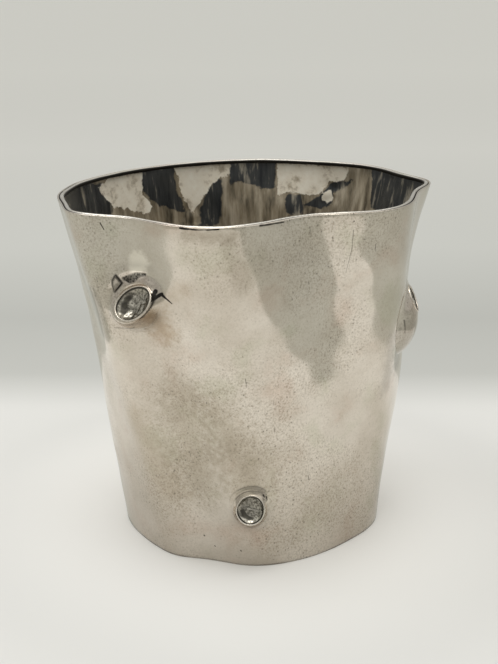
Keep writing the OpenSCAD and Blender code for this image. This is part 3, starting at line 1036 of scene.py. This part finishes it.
# %% The directions of a knot
def knot_axes(angle, z, lean, tilt):
    """Ways out of the wall, along the branch and across it, and the cut face's own top and outward ways."""
    out = skin_out(angle, z)
    up = unit(np.array([0, 0, 1]) - out[2] * out)
    lean, tilt = np.radians([lean, tilt])
    branch = np.cos(lean) * up + np.sin(lean) * np.cross(out, up)
    across = np.cross(out, branch)
    face_top = np.cos(tilt) * branch - np.sin(tilt) * out
    face_out = np.cos(tilt) * out + np.sin(tilt) * branch
    return branch, across, face_top, face_out


def ring_middle(name, face_top, across, face_out):
    """Middle of the cut face: halfway along the CAD ring's two level ways, and lowest along its third."""
    ways = np.stack([face_top, across, face_out])
    seen = vertices_of(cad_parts[f"{name}_knot_ring"]) @ ways.T
    low, high = seen.min(0), seen.max(0)
    return np.array([(low[0] + high[0]) / 2, (low[1] + high[1]) / 2, low[2]]) @ ways


# %% [markdown]
# A collar is worked out on the skin itself: each of its points has a foot on the skin and a height above
# it. From the edge to the lip, foot and height follow a four-point curve. Its first two points hardly leave
# the skin, so the collar grows out of the wall without a step, swells into a shoulder and ends at the ring.
# Where a knot hangs in a pouch, the second point is lifted too, and the collar leaves the wall steeply.

# %% Collar relief
TURNS = 216
ROWS = 66
knot_turn = np.linspace(0, 2 * np.pi, TURNS, endpoint=False)
knot_cos = np.cos(knot_turn)[:, None]
knot_sin = np.sin(knot_turn)[:, None]
CHISEL_BAND = [
    (-129, 183.6), (-126.9, 185.4), (-125, 187), (-121.1, 187.5), (-121.4, 186.2),
    (-123.7, 184.7), (-125.2, 181.9), (-127.1, 180.5), (-128.5, 182.3),
]
FLAP = [
    (-130.6, 184.4), (-131.5, 181.6), (-131.7, 179.1), (-131.3, 175.2),
    (-130.3, 177.6), (-129.2, 180.3), (-129.8, 182),
]
CREASE_TURN = 228


def curve(a, b, c, d, t):
    """A four-point curve: leaves a towards b and arrives at d from c."""
    return (1 - t) ** 3 * a + 3 * (1 - t) ** 2 * t * b + 3 * (1 - t) * t**2 * c + t**3 * d


def brow_relief(turn, gap, rise):
    """Height and grime above the cut: a rounded brow next to the ring, with two shallow grooves."""
    top = smooth(np.cos(turn), 0.15, 0.85)
    grooves = bell(gap, 0.0024, 0.0004) + bell(gap, 0.0052, 0.0004)
    return top * rise * (bell(gap, 0.0022, 0.0022) - 0.25 * grooves), top * 0.16 * grooves


def chiselled_relief(turn, gap, rise, angle, z):
    """Height and dark mask of the large knot: brow, tongue above it, chiselled band between, flap, and
    painted shade in the crease beside the ring.
    """
    top = smooth(np.cos(turn + 0.25), 0.0, 0.8)
    brow = rise * bell(gap, 0.0020, 0.0026)
    tongue = 0.4 * rise * bell(gap, 0.0100, 0.0040)
    band = smooth(patch_depth(angle, z, [CHISEL_BAND]), -0.8, 0.6)
    first = np.cos(5.2 * angle + 900 * z + 1.3 * np.cos(1.3 * angle - 1500 * z))
    second = np.cos(2.1 * angle - 1900 * z + 1.3 * np.cos(3.7 * angle + 700 * z))
    chops = 0.5 + 0.5 * first * second
    flap_in = patch_depth(angle, z, [FLAP])
    flap = 0.0009 * smooth(flap_in, -0.4, 0.3)
    outline = bell(flap_in, -0.3, 0.55) * mix(0.7, 1.0, smooth(angle, -131.6, -129.8))
    # painted shade: the crease along the lower right of the ring, sunk a little, is darkened as shade where
    # the collar is undercut
    crease = bell(gap, 0.0006, 0.0005) * smooth(np.cos(turn - np.radians(CREASE_TURN)), 0.68, 0.88)
    lift = top * (brow + tongue) - 0.0008 * band * (0.45 + 0.55 * chops) + flap - 0.0003 * crease
    grime_and_shade = band * (0.40 + 0.7 * chops**1.5) + 0.95 * outline + 0.9 * crease
    return lift, np.clip(grime_and_shade + 0.22 * smooth(flap_in, 0.0, 0.6), 0, 1)


# %% Collar
CLEAR = 0.00002
SHOULDER_DROP = 0.3
POUCH_RISE = 0.68


def make_collar(name, lip, bore_top, face_out, branch, across):
    """A closed shell: from its edge on the wall over the shoulder to the lip, and back down inside."""
    angle, z, _, _, face_r = KNOTS[name]
    brow_reach, tail, rise, (least, most, shoulder_turn, steep) = FORMS[name][5:]
    reach = face_r + mix(brow_reach, tail, ((1 - knot_cos) / 2) ** 2)
    edge = off_skin(skin(angle, z) + reach * (knot_cos * branch + knot_sin * across))[0]
    outwards = unit(lip - lip.mean(0))
    wide = ((1 + np.cos(knot_turn - np.radians(shoulder_turn))) / 2) ** 1.2
    shoulder = mix(least, most, wide)[:, None]
    shoulder_foot, shoulder_lift = off_skin(lip + shoulder * (outwards - SHOULDER_DROP * face_out))
    lip_foot, lip_lift = off_skin(lip)
    t = np.concatenate([[0, 0.0002], np.linspace(0.03, 1, ROWS - 2)])[None, :]
    leave = steep * wide**2
    first_foot = mix(shoulder_foot, edge, leave[:, None])
    first_lift = np.maximum(POUCH_RISE * leave * shoulder_lift, CLEAR)
    foot_points = [points[:, None] for points in (edge, first_foot, shoulder_foot, lip_foot)]
    feet = curve(*foot_points, t[..., None])
    lift = curve(CLEAR, first_lift[:, None], shoulder_lift[:, None], lip_lift[:, None], t)
    gap = np.linalg.norm(feet - lip_foot[:, None], axis=-1)
    turn = np.broadcast_to(knot_turn[:, None], gap.shape)
    if name == "upper_left":
        extra, grime_and_shade = chiselled_relief(turn, gap, rise, *wall_place(feet))
    else:
        extra, grime_and_shade = brow_relief(turn, gap, rise)
    ends = smooth(t, 0.0, 0.25) * smooth(gap, 0.0001, 0.0009)
    outer = over_skin(feet, np.maximum(lift + ends * extra, CLEAR))
    sunk = np.full(TURNS, -SINK)
    bore_foot = over_skin(off_skin(bore_top)[0], sunk)
    seat_ring = over_skin(mix(bore_foot, edge, 0.7), sunk)
    under = over_skin(edge, sunk)
    back = np.stack([bore_top, bore_foot, seat_ring, under], 1)
    collar = piece_from_grid(f"{name}_collar", np.concatenate([outer, back], 1))
    paint(collar, "grime_and_shade", np.concatenate([ends * grime_and_shade, np.zeros((TURNS, 4))], 1))
    seat(collar, f"{name}_knot_collar", wall_silver)


# %% [markdown]
# The ring is a half-round bead laid on the lip, a little uneven. The dish inside it was beaten in with a
# punch: a shallow bowl with lumps, darkened by tarnish that polishing never reaches.


# %% Ring and dish
BEAD_SIDES = 16
DISH_ROWS = 40
LUMP_H = 0.04


def make_ring(name, middle, round_face, face_out, bead_middle, ring_w, luck):
    """A bead of round section carried round the cut face, thicker and thinner by slow waves."""
    bead = np.linspace(0, 2 * np.pi, BEAD_SIDES, endpoint=False)[None, :, None]
    slow = np.cos(2 * knot_turn + luck[0]) + 0.7 * np.cos(5 * knot_turn + luck[1])
    half = (ring_w / 2 * (1 + 0.10 * slow))[:, None, None]
    across_bead = (bead_middle + half * np.cos(bead)) * round_face[:, None]
    ring = piece_from_grid(f"{name}_ring", middle + across_bead + half * np.sin(bead) * face_out)
    low_inside = -np.cos(bead[..., 0]) - np.sin(bead[..., 0])
    paint(ring, "grime_and_shade", np.broadcast_to(smooth(low_inside, 0.9, 1.3), (TURNS, BEAD_SIDES)))
    seat(ring, f"{name}_knot_ring", ring_silver)


def make_dish(name, middle, round_face, face_out, dish_r, luck):
    """A lumpy bowl with steep sides: its depth falls with a power of the distance from the middle."""
    inner_r = dish_r - 0.0003
    share = np.linspace(0.03, 1, DISH_ROWS)[None, :]
    x, y = share * knot_cos, share * knot_sin
    lumps = np.zeros(x.shape)
    for k in range(2, 16):
        way = luck[k % 10] + k
        lumps += np.cos(3 * way + 3.0 * k**0.75 * (x * np.cos(way) + y * np.sin(way))) / k
    bowl = DISH_DEPTH * (1 - share**DISH_POWER)
    low_in = bowl + LUMP_H * dish_r * lumps * (1 - share**6)
    low = bowl + DISH_T + 0 * x
    front = middle + (share * inner_r)[..., None] * round_face[:, None] - low_in[..., None] * face_out
    back = middle + (share * dish_r)[..., None] * round_face[:, None] - low[..., None] * face_out
    poles = [front[:, 0].mean(0), back[:, 0].mean(0)]
    dish = piece_from_grid(f"{name}_dish", np.concatenate([front, back[:, ::-1]], 1), poles)
    blot_turn, blot_share, murk, clean_turn = DISHES[name]
    clean = smooth(np.cos(knot_turn - np.radians(clean_turn))[:, None], 0.4, 0.9)
    rim_dirt = smooth(share, 0.88, 0.96) * (1 - 0.8 * clean)
    toward = np.cos(knot_turn - np.radians(blot_turn))[:, None]
    blot = 2.4 * bell(share, blot_share, 0.25) * smooth(toward, 0.2, 0.9)
    spots = np.maximum(0.9 * smooth(0.6 * lumps + blot, 0.5, 1.8), murk)
    front_grime = rim_dirt + spots * smooth(1 - share, 0.05, 0.25)
    paint(dish, "grime_and_shade", np.concatenate([np.clip(front_grime, 0, 1), np.ones(x.shape)], 1))
    seat(dish, f"{name}_knot_dish", dish_silver)


# %% All the knots
def make_knot(name):
    """One knot: its directions, its oval face with a slightly uneven edge, and its three pieces."""
    angle, z, lean, tilt, face_r = KNOTS[name]
    along, wide, oval, oval_turn, ring_w = FORMS[name][:5]
    branch, across, face_top, face_out = knot_axes(angle, z, lean, tilt)
    middle = ring_middle(name, face_top, across, face_out)
    luck = chance.uniform(0, 2 * np.pi, 10)
    uneven = 1 + 0.015 * np.cos(2 * knot_turn + luck[0]) + 0.012 * np.cos(3 * knot_turn + luck[1])
    uneven = uneven + oval * np.cos(2 * (knot_turn - np.radians(oval_turn)))
    round_face = knot_cos * along * face_top + knot_sin * wide * across
    round_face = uneven[:, None] * round_face
    bead_middle = face_r - ring_w / 2
    lip, bore_top = (middle + r * round_face for r in (face_r, bead_middle))
    make_collar(name, lip, bore_top, face_out, branch, across)
    make_ring(name, middle, round_face, face_out, bead_middle, ring_w, luck)
    make_dish(name, middle, round_face, face_out, bead_middle - DISH_FIT, luck)


for knot_name in KNOTS:
    make_knot(knot_name)
